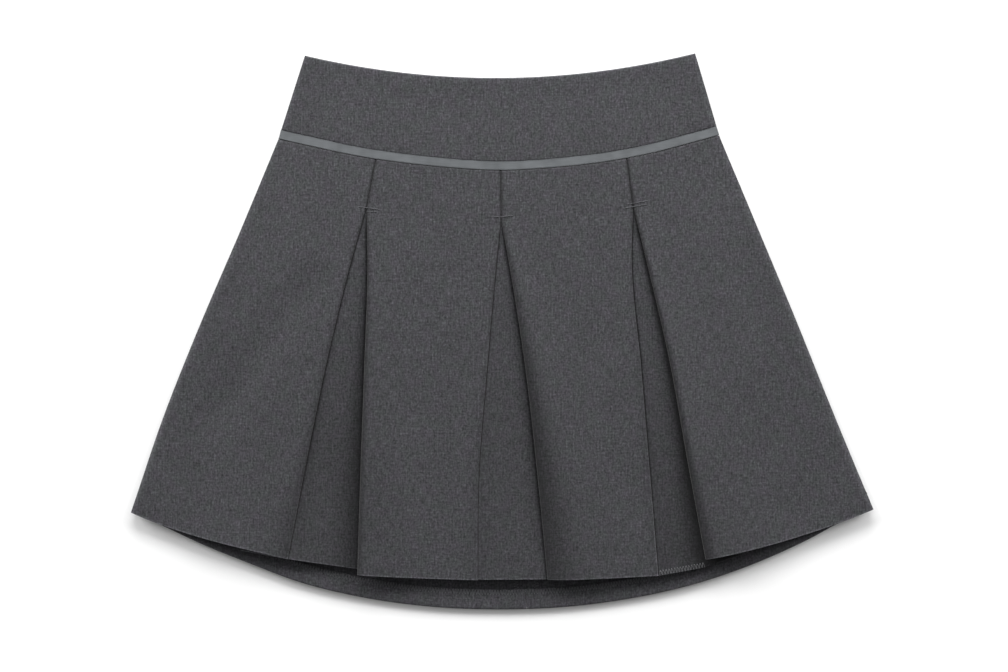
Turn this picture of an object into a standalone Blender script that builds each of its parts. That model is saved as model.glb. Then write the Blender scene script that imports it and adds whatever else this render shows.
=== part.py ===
"""Mini skirt, laid flat with its front up.

A shaped yoke with a ribbon along its lower edge, a flared front with three inverted box pleats, and a plain
back in two halves whose turned-up hem shows below the front. Every piece of cloth is a wall of even thickness
round its middle surface. The middle surfaces are worked out from sections: a short table gives the pleats,
curves give the edges, and each layer's height follows from the layers that it lies on.

Frame: +X to the right as the skirt is looked at, +Y towards the waist, +Z up from the surface it lies on.
Sizes are in millimetres here, and become metres where a mesh is filled.
"""

from collections import namedtuple
import math

import bmesh
import bpy
from mathutils import Vector
import numpy as np

MM = 0.001

# Walls, and the gaps between pieces and between layers
CLOTH_WALL = 1.1
RIBBON_WALL = 1.0
SEAM_GAP = 0.3
LAYER_GAP = 0.35
LAYER_PITCH = CLOTH_WALL + LAYER_GAP
TURN_RADIUS = LAYER_PITCH / 2
HEM_FOLD_GAP = 0.6
HEM_PITCH = CLOTH_WALL + HEM_FOLD_GAP
HEM_TURN_RADIUS = HEM_PITCH / 2

# Shallow bows across the skirt: y = low_y + rise * t^2 + tilt * t, where t runs from -1 to 1 over the width
Bow = namedtuple("Bow", "centre_x low_y half_width rise tilt")
WAIST_EDGE = Bow(centre_x=-2.4, low_y=217.2, half_width=167.1, rise=20.1, tilt=0.85)
YOKE_SEAM = Bow(centre_x=-2.4, low_y=138.7, half_width=188.7, rise=26.9, tilt=1.0)
RIBBON_WIDTH = 7.3

# The side seams: straight beside the yoke, and given at quarters of the way down the skirt
WAIST_X = (-169.0, 165.2)
QUARTERS = (0.0, 0.25, 0.50, 0.75, 1.0)
LEFT_SIDE_X = (-191.7, -224.6, -258.7, -290.3, -317.2)
RIGHT_SIDE_X = (185.7, 218.9, 252.0, 284.1, 317.2)
SIDE_HEM_Y = (-154.7, -152.1)
BACK_INSET = 0.5

# The back: its hem line, the seam down its middle, its turned-up hem and the slight curl of that hem
BACK_HEM_X = (-317.2, -259.0, -213.6, -126.2, -71.3, -1.9, 85.5, 172.9, 260.3, 317.2)
BACK_HEM_Y = (-154.7, -182.1, -201.8, -227.5, -235.9, -238.2, -231.8, -212.1, -179.1, -152.1)
BACK_SEAM_X = (-2.4, 4.5, 21.0)
TURN_UP = 16.5
TURN_UP_CLEARANCE = 4.0
TURN_UP_RAMP = 26.0
CURL_LENGTH = 46.0
CURL_AT_MIDDLE = 2.6
CURL_AT_SIDES = 5.5
CURL_SPREAD_POWER = 1.5

# The front's hem sags below straight lines between the pleats
SIDE_PANEL_SAG = 4.3
MIDDLE_PANEL_SAG = 0.9

# Inverted box pleats, a row each. The two front edges' x is given where the stitching ends and at the quarters
# below. A return is the cloth folded behind the front, its width given at the seam and at the hem. The hem's y
# is given at the two front edges, and on the underlay from its left inner fold to its right one. A lift is how
# far a front edge stands off its underlay at the hem, past its own layers.
STITCH_END = 0.122
EDGE_PLACES = (STITCH_END, 0.25, 0.50, 0.75, 1.0)
UNDERLAY_PLACES = (0.0, 0.30, 0.65, 1.0)
RETURN_PLACES = (0.0, 1.0)
Pleat = namedtuple("Pleat", "seam_x left_edge_x right_edge_x left_return right_return "
                            "edge_hem_y underlay_hem_y left_lift right_lift")
PLEATS = (
    Pleat(seam_x=-108.2,
          left_edge_x=(-116.2, -128.4, -149.1, -166.5, -182.7),
          right_edge_x=(-116.2, -116.1, -119.1, -122.1, -124.5),
          left_return=(28.0, 40.0), right_return=(28.0, 58.0),
          edge_hem_y=(-194.1, -208.2), underlay_hem_y=(-184.9, -194.0, -203.1, -213.2),
          left_lift=0.7, right_lift=3.6),
    Pleat(seam_x=-1.5,
          left_edge_x=(-1.1, -5.7, -13.2, -19.9, -20.8),
          right_edge_x=(-1.1, 6.6, 19.7, 29.5, 38.3),
          left_return=(28.0, 32.0), right_return=(28.0, 38.0),
          edge_hem_y=(-212.7, -212.4), underlay_hem_y=(-211.4, -212.2, -212.0, -210.8),
          left_lift=0.5, right_lift=3.0),
    Pleat(seam_x=106.4,
          left_edge_x=(111.8, 110.8, 118.7, 126.1, 133.4),
          right_edge_x=(111.8, 121.6, 141.8, 157.3, 172.9),
          left_return=(28.0, 38.0), right_return=(28.0, 40.0),
          edge_hem_y=(-208.6, -194.1), underlay_hem_y=(-208.2, -201.6, -194.8, -185.2),
          left_lift=0.6, right_lift=3.4),
)
STACK_MARGIN = 3.0
STACK_RISE = 55.0

# A lift grows from the stitching to the hem, and fades away from its edge. It fades faster on the return than
# on the outer layer, which reaches further, so that the two stay clear of each other.
LIFT_GROWTH = 0.85
TOP_LIFT_EXTRA_REACH = 15.0
TOP_LIFT_POWER = 2
RETURN_LIFT_POWER = 3

# Soft folds of the front, each a ridge from one point to another, faded in and out over a part of its length
FOLD_FADE = 0.25
SoftFold = namedtuple("SoftFold", "start_x start_y end_x end_y half_width height")
SOFT_FOLDS = (
    SoftFold(start_x=-146.0, start_y=66.0, end_x=-268.0, end_y=-104.0, half_width=17.0, height=1.4),
    SoftFold(start_x=-88.0, start_y=-60.0, end_x=-76.0, end_y=-215.0, half_width=20.0, height=0.8),
    SoftFold(start_x=84.0, start_y=0.0, end_x=96.0, end_y=-215.0, half_width=22.0, height=0.6),
    SoftFold(start_x=196.0, start_y=20.0, end_x=246.0, end_y=-160.0, half_width=20.0, height=1.1),
)

# How finely the pieces are cut. The front's rows lie at these fractions of the way down it.
FRONT_ROWS = (0.0, 0.041, 0.082, STITCH_END, 0.145, 0.18, 0.23, 0.29, 0.36, 0.44, 0.53, 0.62, 0.71, 0.79,
              0.855, 0.905, 0.94, 0.97, 1.0)
SIDE_PANEL_COLUMNS = 10
MIDDLE_PANEL_COLUMNS = 8
RETURN_COLUMNS = 3
UNDERLAY_COLUMNS = 6
TURN_COLUMNS = 4
YOKE_ROWS = 4
YOKE_COLUMNS = 40
BACK_ROWS = 6
BACK_COLUMNS = 10
CURL_ROWS = 4
TURN_UP_ROWS = 2

CLOTH_COLOUR = (0.080, 0.081, 0.087, 1.0)
RIBBON_COLOUR = (0.185, 0.198, 0.205, 1.0)


# ---- Curves ------------------------------------------------------------------------------------------------

def between(start, end, fraction):
    return start + (end - start) * fraction


def ease(t):
    """A smooth step from 0 to 1."""
    t = min(max(t, 0.0), 1.0)
    return t * t * (3.0 - 2.0 * t)


def bow(edge, x):
    """The y of a shallow bow at x."""
    t = (x - edge.centre_x) / edge.half_width
    return edge.low_y + edge.rise * t * t + edge.tilt * t


def smooth_line(places, values):
    """A smooth curve through values at places, as a function of place."""
    slopes = np.gradient(np.array(values), np.array(places))

    def at(place):
        i = min(max(int(np.searchsorted(places, place)) - 1, 0), len(places) - 2)
        step = places[i + 1] - places[i]
        t = (place - places[i]) / step
        start_pull = t * (1.0 - t) ** 2 * step * slopes[i]
        end_pull = t * t * (t - 1.0) * step * slopes[i + 1]
        return float(between(values[i], values[i + 1], t * t * (3.0 - 2.0 * t)) + start_pull + end_pull)

    return at


left_side_x = smooth_line(QUARTERS, LEFT_SIDE_X)
right_side_x = smooth_line(QUARTERS, RIGHT_SIDE_X)
back_seam_x = smooth_line((0.0, 0.50, 1.0), BACK_SEAM_X)
back_hem_y = smooth_line(BACK_HEM_X, BACK_HEM_Y)


def front_edges(pleat, down):
    """The x of a pleat's two front edges. They meet where the pleat is stitched, and part below."""
    if down <= STITCH_END:
        middle = between(pleat.seam_x, pleat.left_edge_x[0], down / STITCH_END)
        return middle - SEAM_GAP / 2, middle + SEAM_GAP / 2
    left = smooth_line(EDGE_PLACES, pleat.left_edge_x)(down) - SEAM_GAP / 2
    right = smooth_line(EDGE_PLACES, pleat.right_edge_x)(down) + SEAM_GAP / 2
    return left, max(right, left + SEAM_GAP)


def inner_folds(pleat, down):
    """The x of the two folds behind the front, a return's width away from the front edges."""
    left, right = front_edges(pleat, down)
    return left - between(*pleat.left_return, down), right + between(*pleat.right_return, down)


# ---- Heights of the layers' middles ------------------------------------------------------------------------

def hem_curl(x, y):
    """How far the back stands off the surface near its hem."""
    from_hem = y - back_hem_y(x)
    across = min(abs(x) / RIGHT_SIDE_X[-1], 1.0)
    at_hem = between(CURL_AT_MIDDLE, CURL_AT_SIDES, across ** CURL_SPREAD_POWER)
    return at_hem * max(0.0, 1.0 - from_hem / CURL_LENGTH) ** 2


def lowest_layer(x, y):
    """The lowest layer of the front, clear of the back and of its turned-up hem."""
    from_hem = y - back_hem_y(x)
    ramp_end = TURN_UP + TURN_UP_CLEARANCE
    over_turn_up = HEM_PITCH * ease((ramp_end + TURN_UP_RAMP - from_hem) / TURN_UP_RAMP)
    return CLOTH_WALL / 2 + hem_curl(x, y) + over_turn_up + LAYER_PITCH


def soft_folds(x, y):
    """The front's soft ridges, added up at a point."""
    total = 0.0
    for fold in SOFT_FOLDS:
        run = Vector((fold.end_x - fold.start_x, fold.end_y - fold.start_y))
        reach = Vector((x - fold.start_x, y - fold.start_y))
        along = reach.dot(run) / run.length_squared
        across = reach.cross(run) / run.length / fold.half_width
        fade = ease(along / FOLD_FADE) * ease((1.0 - along) / FOLD_FADE)
        total += fold.height * fade * math.exp(-across * across)
    return total


def edge_lift(lift, from_edge, reach, down, power):
    """The lift of a pleat's front edge, fading over its reach. It grows from the stitching to the hem."""
    opened = max(0.0, (down - STITCH_END) / (1.0 - STITCH_END)) ** LIFT_GROWTH
    return lift * opened * max(0.0, 1.0 - max(from_edge, 0.0) / reach) ** power


def top_layer(x, y, down):
    """The front's outer layer. It rises from the side seams onto the pleats' layers."""
    stack_left = inner_folds(PLEATS[0], down)[0] - STACK_MARGIN
    stack_right = inner_folds(PLEATS[-1], down)[1] + STACK_MARGIN
    beyond_stack = max(stack_left - x, x - stack_right)
    height = lowest_layer(x, y) + 2 * LAYER_PITCH * ease(1.0 - beyond_stack / STACK_RISE) + soft_folds(x, y)
    for pleat in PLEATS:
        left, right = front_edges(pleat, down)
        if x < (left + right) / 2:
            reach = between(*pleat.left_return, down) + TOP_LIFT_EXTRA_REACH
            height += edge_lift(pleat.left_lift, left - x, reach, down, TOP_LIFT_POWER)
        else:
            reach = between(*pleat.right_return, down) + TOP_LIFT_EXTRA_REACH
            height += edge_lift(pleat.right_lift, x - right, reach, down, TOP_LIFT_POWER)
    return height


def return_layer(pleat, x, y, down):
    """The cloth folded behind the front: up at the front edge with it, and down on the underlay further in."""
    left, right = front_edges(pleat, down)
    if x < (left + right) / 2:
        edge_height, from_edge, reach = pleat.left_lift, left - x, between(*pleat.left_return, down)
    else:
        edge_height, from_edge, reach = pleat.right_lift, x - right, between(*pleat.right_return, down)
    return lowest_layer(x, y) + LAYER_PITCH + edge_lift(edge_height, from_edge, reach, down, RETURN_LIFT_POWER)


# ---- The front's section -----------------------------------------------------------------------------------

UNDERLAY, RETURN, TOP = 0, 1, 2
SectionPoint = namedtuple("SectionPoint", "x layer pleat hem_y")


def run(start_x, end_x, layer, pleat, hem_places, hem_y, columns):
    """Points of one layer from start_x to end_x."""
    points = []
    for i in range(columns + 1):
        t = i / columns
        point_hem_y = float(np.interp(t, hem_places, hem_y))
        points.append(SectionPoint(between(start_x, end_x, t), layer, pleat, point_hem_y))
    return points


def turn(tip_x, tip_side, start_layer, end_layer, pleat, hem_y):
    """Points of half a turn from one layer to the next, round a tip at tip_x."""
    points = []
    for i in range(1, TURN_COLUMNS):
        angle = math.pi * i / TURN_COLUMNS
        x = tip_x - tip_side * TURN_RADIUS * (1.0 - math.sin(angle))
        layer = between(start_layer, end_layer, (1.0 - math.cos(angle)) / 2)
        points.append(SectionPoint(x, layer, pleat, hem_y))
    return points


def pleat_section(pleat, down):
    """A pleat's points between its two front edges: turn, return, turn, underlay, turn, return and turn."""
    left_tip, right_tip = front_edges(pleat, down)
    left_tip -= CLOTH_WALL / 2
    right_tip += CLOTH_WALL / 2
    left_fold, right_fold = inner_folds(pleat, down)
    left_hem, right_hem = pleat.edge_hem_y
    inner_left_hem, inner_right_hem = pleat.underlay_hem_y[0], pleat.underlay_hem_y[-1]
    points = turn(left_tip, 1, TOP, RETURN, pleat, left_hem)
    points += run(left_tip - TURN_RADIUS, left_fold + TURN_RADIUS, RETURN, pleat,
                  RETURN_PLACES, (left_hem, inner_left_hem), RETURN_COLUMNS)
    points += turn(left_fold, -1, RETURN, UNDERLAY, pleat, inner_left_hem)
    points += run(left_fold + TURN_RADIUS, right_fold - TURN_RADIUS, UNDERLAY, pleat,
                  UNDERLAY_PLACES, pleat.underlay_hem_y, UNDERLAY_COLUMNS)
    points += turn(right_fold, 1, UNDERLAY, RETURN, pleat, inner_right_hem)
    points += run(right_fold - TURN_RADIUS, right_tip + TURN_RADIUS, RETURN, pleat,
                  RETURN_PLACES, (inner_right_hem, right_hem), RETURN_COLUMNS)
    points += turn(right_tip, -1, RETURN, TOP, pleat, right_hem)
    return points


def panel_section(start_x, end_x, start_hem, end_hem, sag, columns):
    """A panel of the outer layer between two edges, its hem a shallow sag."""
    points = []
    for i in range(columns + 1):
        t = i / columns
        hem_y = between(start_hem, end_hem, t) - 4.0 * sag * t * (1.0 - t)
        points.append(SectionPoint(between(start_x, end_x, t), TOP, None, hem_y))
    return points


def front_section(down):
    """The front's section at a fraction of the way down, from its left side seam to its right one."""
    edge_inset = CLOTH_WALL / 2 + TURN_RADIUS
    points = []
    start_x, start_hem, sag, columns = left_side_x(down), SIDE_HEM_Y[0], SIDE_PANEL_SAG, SIDE_PANEL_COLUMNS
    for pleat in PLEATS:
        left, right = front_edges(pleat, down)
        points += panel_section(start_x, left - edge_inset, start_hem, pleat.edge_hem_y[0], sag, columns)
        points += pleat_section(pleat, down)
        start_x, start_hem = right + edge_inset, pleat.edge_hem_y[1]
        sag, columns = MIDDLE_PANEL_SAG, MIDDLE_PANEL_COLUMNS
    points += panel_section(start_x, right_side_x(down), start_hem, SIDE_HEM_Y[1],
                            SIDE_PANEL_SAG, SIDE_PANEL_COLUMNS)
    return points


def section_height(point, y, down):
    """The height of a section's point: on its layer, or between two layers in a turn."""
    if point.layer == TOP:
        return top_layer(point.x, y, down)
    heights = (lowest_layer(point.x, y),
               return_layer(point.pleat, point.x, y, down),
               top_layer(point.x, y, down))
    return float(np.interp(point.layer, (UNDERLAY, RETURN, TOP), heights))


def front_skirt_rows():
    """The front's middle surface. A row lies a fraction of the way from the yoke's seam to the hem."""
    tops = [bow(YOKE_SEAM, point.x) - SEAM_GAP for point in front_section(0.0)]
    rows = []
    for down in FRONT_ROWS:
        row = []
        for point, top_y in zip(front_section(down), tops):
            y = between(top_y, point.hem_y, down)
            row.append((point.x, y, section_height(point, y, down)))
        rows.append(row)
    return rows


# ---- Yokes, ribbon and back --------------------------------------------------------------------------------

def front_yoke_rows():
    """The front yoke's middle: on the back yoke at the waist, level with the front's outer layer at the seam.

    The rows are even down to the ribbon's upper edge, and the last row lies at the seam.
    """
    rows = []
    for i in range(YOKE_ROWS + 2):
        row = []
        for j in range(YOKE_COLUMNS + 1):
            across = j / YOKE_COLUMNS
            waist_x, seam_x = between(*WAIST_X, across), between(LEFT_SIDE_X[0], RIGHT_SIDE_X[0], across)
            waist_y, seam_y = bow(WAIST_EDGE, waist_x), bow(YOKE_SEAM, seam_x)
            ribbon_top = 1.0 - RIBBON_WIDTH / (waist_y - seam_y)
            down = ribbon_top * i / YOKE_ROWS if i <= YOKE_ROWS else 1.0
            x, y = between(waist_x, seam_x, down), between(waist_y, seam_y, down)
            row.append((x, y, between(lowest_layer(x, y), top_layer(seam_x, seam_y, 0.0), ease(down))))
        rows.append(row)
    return rows


def ribbon_rows():
    """The front yoke's last two rows, moved out onto its face."""
    out = CLOTH_WALL / 2 + SEAM_GAP + RIBBON_WALL / 2
    return [[(x, y, z + out) for x, y, z in row] for row in front_yoke_rows()[-2:]]


def back_edge_xs(side, side_x, seam_x, across):
    """The x across half of the back, from just inside its side seam to its side of the seam down the back."""
    inward = (1, -1)[side]
    return between(side_x + BACK_INSET * inward, seam_x - SEAM_GAP / 2 * inward, across)


def back_yoke_rows(side):
    """Half of the back yoke, flat on the surface. The side is 0 on the left and 1 on the right."""
    seam_side_x = (LEFT_SIDE_X, RIGHT_SIDE_X)[side][0]
    rows = []
    for i in range(YOKE_ROWS + 1):
        down = i / YOKE_ROWS
        row = []
        for j in range(BACK_COLUMNS + 1):
            waist_x = back_edge_xs(side, WAIST_X[side], BACK_SEAM_X[0], j / BACK_COLUMNS)
            seam_x = back_edge_xs(side, seam_side_x, BACK_SEAM_X[0], j / BACK_COLUMNS)
            waist_y, seam_y = bow(WAIST_EDGE, waist_x) - BACK_INSET, bow(YOKE_SEAM, seam_x)
            row.append((between(waist_x, seam_x, down), between(waist_y, seam_y, down), CLOTH_WALL / 2))
        rows.append(row)
    return rows


def turned_hem():
    """Places round a turned-up hem: the distance up from its edge, and 0 outside to 1 inside."""
    turns = [math.pi * i / TURN_COLUMNS for i in range(1, TURN_COLUMNS + 1)]
    places = [(HEM_TURN_RADIUS * (1.0 - math.sin(angle)), (1.0 - math.cos(angle)) / 2) for angle in turns]
    places += [(between(HEM_TURN_RADIUS, TURN_UP, i / TURN_UP_ROWS), 1.0) for i in range(1, TURN_UP_ROWS + 1)]
    return places


def back_skirt_rows(side):
    """Half of the back's skirt, flat on the surface but for its curled hem, which is turned up inside."""
    side_x = (left_side_x, right_side_x)[side]

    def x_at(across, down):
        return back_edge_xs(side, side_x(down), back_seam_x(down), across)

    rows = []
    flat_ups = [(i / BACK_ROWS, 0.0) for i in range(BACK_ROWS)]
    curled_ups = [(between(CURL_LENGTH, HEM_TURN_RADIUS, i / CURL_ROWS), 0.0) for i in range(CURL_ROWS + 1)]
    for place, (up, inside) in enumerate(flat_ups + curled_ups + turned_hem()):
        row = []
        for j in range(BACK_COLUMNS + 1):
            across = j / BACK_COLUMNS
            seam_y = bow(YOKE_SEAM, x_at(across, 0.0)) - SEAM_GAP
            hem_y = back_hem_y(x_at(across, 1.0)) + CLOTH_WALL / 2
            length = seam_y - hem_y
            down = up * (1.0 - CURL_LENGTH / length) if place < BACK_ROWS else 1.0 - up / length
            x, y = x_at(across, down), between(seam_y, hem_y, down)
            row.append((x, y, CLOTH_WALL / 2 + hem_curl(x, y) + HEM_PITCH * inside))
        rows.append(row)
    return rows


# ---- Building ----------------------------------------------------------------------------------------------

def clear_scene():
    for old in list(bpy.data.objects):
        bpy.data.objects.remove(old, do_unlink=True)


def cloth_material(name, colour, roughness):
    material = bpy.data.materials.new(name)
    material.use_nodes = True
    shader = material.node_tree.nodes["Principled BSDF"]
    shader.inputs["Base Color"].default_value = colour
    shader.inputs["Roughness"].default_value = roughness
    shader.inputs["Metallic"].default_value = 0.0
    return material


def cloth_piece(name, rows, wall, material, parent, collection):
    """A piece of cloth: a grid laid on the rows of its middle surface, with a wall round it."""
    mesh = bpy.data.meshes.new(name)
    grid = bmesh.new()
    bmesh.ops.create_grid(grid, x_segments=len(rows[0]) - 1, y_segments=len(rows) - 1, size=1.0)
    grid.verts.ensure_lookup_table()
    for vertex, point in zip(grid.verts, (point for row in rows for point in row)):
        vertex.co = Vector(point) * MM
    grid.to_mesh(mesh)
    grid.free()
    mesh.shade_smooth()
    mesh.materials.append(material)
    piece = bpy.data.objects.new(name, mesh)
    piece.parent = parent
    collection.objects.link(piece)
    shell = piece.modifiers.new("wall", "SOLIDIFY")
    shell.thickness = wall * MM
    shell.offset = 0.0
    shell.use_even_offset = True
    shell.use_quality_normals = True
    return piece


def build_skirt():
    collection = bpy.data.collections.new("mini_skirt")
    bpy.context.scene.collection.children.link(collection)
    skirt = bpy.data.objects.new("mini_skirt", None)
    collection.objects.link(skirt)
    suiting = cloth_material("charcoal_suiting", CLOTH_COLOUR, roughness=0.9)
    satin = cloth_material("grey_ribbon", RIBBON_COLOUR, roughness=0.45)
    cloth_piece("back_skirt_left", back_skirt_rows(0), CLOTH_WALL, suiting, skirt, collection)
    cloth_piece("back_skirt_right", back_skirt_rows(1), CLOTH_WALL, suiting, skirt, collection)
    cloth_piece("back_yoke_left", back_yoke_rows(0), CLOTH_WALL, suiting, skirt, collection)
    cloth_piece("back_yoke_right", back_yoke_rows(1), CLOTH_WALL, suiting, skirt, collection)
    cloth_piece("front_skirt", front_skirt_rows(), CLOTH_WALL, suiting, skirt, collection)
    cloth_piece("front_yoke", front_yoke_rows(), CLOTH_WALL, suiting, skirt, collection)
    cloth_piece("ribbon", ribbon_rows(), RIBBON_WALL, satin, skirt, collection)


clear_scene()
build_skirt()
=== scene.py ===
# %% [markdown]
# # A pleated mini skirt, laid flat
# The skirt lies on a pale surface with its front up, and is seen from straight above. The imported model
# fixes where each piece of cloth lies. This script lays a thinner, softer shell of its own over each
# of them, sews them together with real thread, and sets the light and the camera.

# %% Load the frame
from collections import namedtuple
import math

import bpy
import numpy as np
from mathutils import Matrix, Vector


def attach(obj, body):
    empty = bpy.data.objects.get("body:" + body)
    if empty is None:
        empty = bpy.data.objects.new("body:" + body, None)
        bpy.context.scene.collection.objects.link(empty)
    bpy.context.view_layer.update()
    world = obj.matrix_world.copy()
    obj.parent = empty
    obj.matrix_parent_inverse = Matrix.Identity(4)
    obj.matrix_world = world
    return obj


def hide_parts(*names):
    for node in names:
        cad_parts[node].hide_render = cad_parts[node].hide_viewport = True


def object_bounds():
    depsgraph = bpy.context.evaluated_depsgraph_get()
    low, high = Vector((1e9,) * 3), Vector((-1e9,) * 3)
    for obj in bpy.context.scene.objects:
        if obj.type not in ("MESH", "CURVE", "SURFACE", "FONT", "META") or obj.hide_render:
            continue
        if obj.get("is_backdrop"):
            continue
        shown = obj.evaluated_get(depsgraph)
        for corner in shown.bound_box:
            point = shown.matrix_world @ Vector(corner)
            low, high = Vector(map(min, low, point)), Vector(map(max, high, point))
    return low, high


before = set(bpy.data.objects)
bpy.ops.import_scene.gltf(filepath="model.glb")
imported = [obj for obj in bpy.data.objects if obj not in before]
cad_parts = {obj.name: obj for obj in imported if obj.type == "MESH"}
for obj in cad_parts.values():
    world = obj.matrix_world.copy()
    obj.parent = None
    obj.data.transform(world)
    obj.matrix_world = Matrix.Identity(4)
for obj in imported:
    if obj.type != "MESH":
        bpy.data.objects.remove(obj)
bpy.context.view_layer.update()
scene = bpy.context.scene


def place(name, data):
    """A new object in the scene, at the origin."""
    made = bpy.data.objects.new(name, data)
    scene.collection.objects.link(made)
    return made


# %% [markdown]
# ## Camera, floor and light
# The picture is a studio flat lay: the camera hangs over the middle of the skirt and looks straight
# down. A long lens from two metres keeps perspective small, and an orthographic camera would lose it.

# %% Camera
CAMERA_PLACE = (0.0015, -0.0039, 2.04)
CAMERA_LENS = 85.0
camera_data = bpy.data.cameras.new("camera")
camera_data.sensor_width = 36.0
camera_data.lens = CAMERA_LENS
camera = place("camera", camera_data)
camera.location = CAMERA_PLACE
scene.camera = camera
scene.view_settings.view_transform = "Standard"

# %% [markdown]
# Node maths reads best as ordinary expressions. `Wire` wraps a node's output, and its operators add Math
# nodes. `Tree` is a node tree in the making, and its `node` method makes any node, with the values or
# wires for its sockets and then its settings. `Finish` is a material's tree.

# %% Node helpers
class Wire:
    """A node's output, with operators that add Math nodes."""

    def __init__(self, maker, socket):
        self.maker = maker
        self.socket = socket

    def maths(self, operation, *others):
        inputs = dict(enumerate((self,) + others))
        return self.maker.node("ShaderNodeMath", inputs, operation=operation)

    def __add__(self, other):
        return self.maths("ADD", other)

    def __sub__(self, other):
        return self.maths("SUBTRACT", other)

    def __mul__(self, other):
        return self.maths("MULTIPLY", other)

    __radd__ = __add__


class Tree:
    """A node tree in the making."""

    def __init__(self, tree):
        self.tree = tree

    def feed(self, node, inputs):
        for key, value in inputs.items():
            if isinstance(value, Wire):
                self.tree.links.new(value.socket, node.inputs[key])
            else:
                node.inputs[key].default_value = value

    def node(self, kind, inputs=None, output=0, **settings):
        made = self.tree.nodes.new(kind)
        for name, value in settings.items():
            setattr(made, name, value)
        self.feed(made, inputs or {})
        return Wire(self, made.outputs[output])


class Finish(Tree):
    """A material in the making, round one Principled shader."""

    def __init__(self, name, **constants):
        self.material = bpy.data.materials.new(name)
        self.material.use_nodes = True
        super().__init__(self.material.node_tree)
        self.shader = self.tree.nodes["Principled BSDF"]
        self.feed(self.shader, {key.replace("_", " "): value for key, value in constants.items()})

    def noise(self, place, stretch, detail=2.0):
        """Noise whose grains are `stretch` metres long in each direction, centred on 0."""
        scaled = self.node("ShaderNodeMapping", {"Vector": place, "Scale": stretch}, vector_type="TEXTURE")
        return self.node("ShaderNodeTexNoise", {
            "Vector": scaled, "Scale": 1.0, "Detail": detail, "Roughness": 0.55}) - 0.5

    def scaled_colour(self, colour, factor):
        """A colour times a varying factor."""
        return self.node("ShaderNodeVectorMath", {0: colour, "Scale": factor}, operation="SCALE")


# %% [markdown]
# The floor is plain pale card. The photo's white is burnt out all round the skirt, so the card gets a
# little more light than white needs, and only the hem's own shadow is left on it.

# %% Floor
FLOOR_HALF = 4.0


def mesh_object(name, points, faces, material):
    mesh = bpy.data.meshes.new(name)
    mesh.from_pydata(points, [], faces)
    mesh.shade_smooth()
    mesh.materials.append(material)
    return place(name, mesh)


card = Finish("pale_card", Base_Color=(0.79, 0.79, 0.79, 1.0), Roughness=0.9, Specular_IOR_Level=0.1)
floor_corners = [(x * FLOOR_HALF, y * FLOOR_HALF, 0.0) for x, y in ((-1, -1), (1, -1), (1, 1), (-1, 1))]
floor = mesh_object("floor", floor_corners, [(0, 1, 2, 3)], card.material)
floor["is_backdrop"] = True

# %% [markdown]
# The light is soft and low. A big soft box stands beyond the waist, so its shadow falls below the hem,
# and it is near enough that the cloth gets a little darker away from it. The lamps to its left and right
# leave the steps of the pleats in soft shade. They are far away, so they are suns with a wide angle. A
# faint one from above and a pale world fill the shadows.

# %% Light
WORLD_STRENGTH = 0.30
FAR = 0.0
Lamp = namedtuple("Lamp", "name bearing height spread strength distance")
LAMPS = (
    Lamp("right_light", 40.0, 18.5, 30.0, 3.0, FAR),
    Lamp("waist_box", 90.0, 21.0, 40.0, 5.8, 2.2),
    Lamp("left_light", 138.0, 18.5, 28.0, 3.2, FAR),
    Lamp("top_light", 80.0, 60.0, 60.0, 0.5, FAR),
)

world = bpy.data.worlds.new("studio")
world.use_nodes = True
world.node_tree.nodes["Background"].inputs["Color"].default_value = (1.0, 1.0, 1.0, 1.0)
world.node_tree.nodes["Background"].inputs["Strength"].default_value = WORLD_STRENGTH
scene.world = world

for lamp in LAMPS:
    light = bpy.data.lights.new(lamp.name, "AREA" if lamp.distance else "SUN")
    if lamp.distance:
        light.size = 2.0 * lamp.distance * math.tan(math.radians(lamp.spread) / 2)
        light.energy = lamp.strength * math.pi * lamp.distance ** 2
    else:
        light.energy = lamp.strength
        light.angle = math.radians(lamp.spread)
    stand = place(lamp.name, light)
    bearing, height = math.radians(lamp.bearing), math.radians(lamp.height)
    level = math.cos(height)
    towards = Vector((math.cos(bearing) * level, math.sin(bearing) * level, math.sin(height)))
    stand.location = towards * max(lamp.distance, 1.0)
    stand.rotation_euler = towards.to_track_quat("Z", "Y").to_euler()
print(len(LAMPS), "lamps and a pale world")

# %% [markdown]
# ## Finishes
# The suiting is a charcoal melange: dark and light wool are mixed before spinning, which gives short
# light and dark dashes along both thread directions. They are stretched noise, one for each direction,
# with flecks between them. The dye is uneven too, and drifts from a plum grey to a moss grey and back
# within a few centimetres. The weave is two rows of rounded ribs, finer than the dashes, in the bump
# alone. Each point of the cloth also holds its painted shade and painted highlights, which scale its
# colour.

# %% Suiting
PLUM_GREY = (0.0332, 0.0312, 0.0367, 1.0)
MOSS_GREY = (0.0307, 0.0327, 0.0340, 1.0)
YARN_PITCH = 0.00052
DASH_SPREAD = 2.2

suiting = Finish("charcoal_suiting", Roughness=0.88, Specular_IOR_Level=0.22, Sheen_Weight=0.12,
                 Sheen_Roughness=0.45)
cloth_place = suiting.node("ShaderNodeUVMap", uv_map="cloth")
warp_dashes = suiting.noise(cloth_place, (0.0014, 0.0100, 1.0))
weft_dashes = suiting.noise(cloth_place, (0.0060, 0.0012, 1.0))
flecks = suiting.noise(cloth_place, (0.0015, 0.0021, 1.0), detail=1.0)
clouds = suiting.noise(cloth_place, (0.030, 0.045, 1.0), detail=1.0)
dashes = warp_dashes * 1.50 + weft_dashes * 1.25 + flecks * 2.0 + clouds * 0.20
melange = (1.0 + dashes * (1.0 / DASH_SPREAD)).maths("POWER", DASH_SPREAD)
# Painted shade and painted highlights, kept on each point of the cloth, scale its colour.
painted_shading = suiting.node("ShaderNodeAttribute", output=2, attribute_name="painted_shading") + 1.0
dye = suiting.noise(cloth_place, (0.012, 0.012, 1.0), detail=2.0) * 3.0 + 0.5
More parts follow.
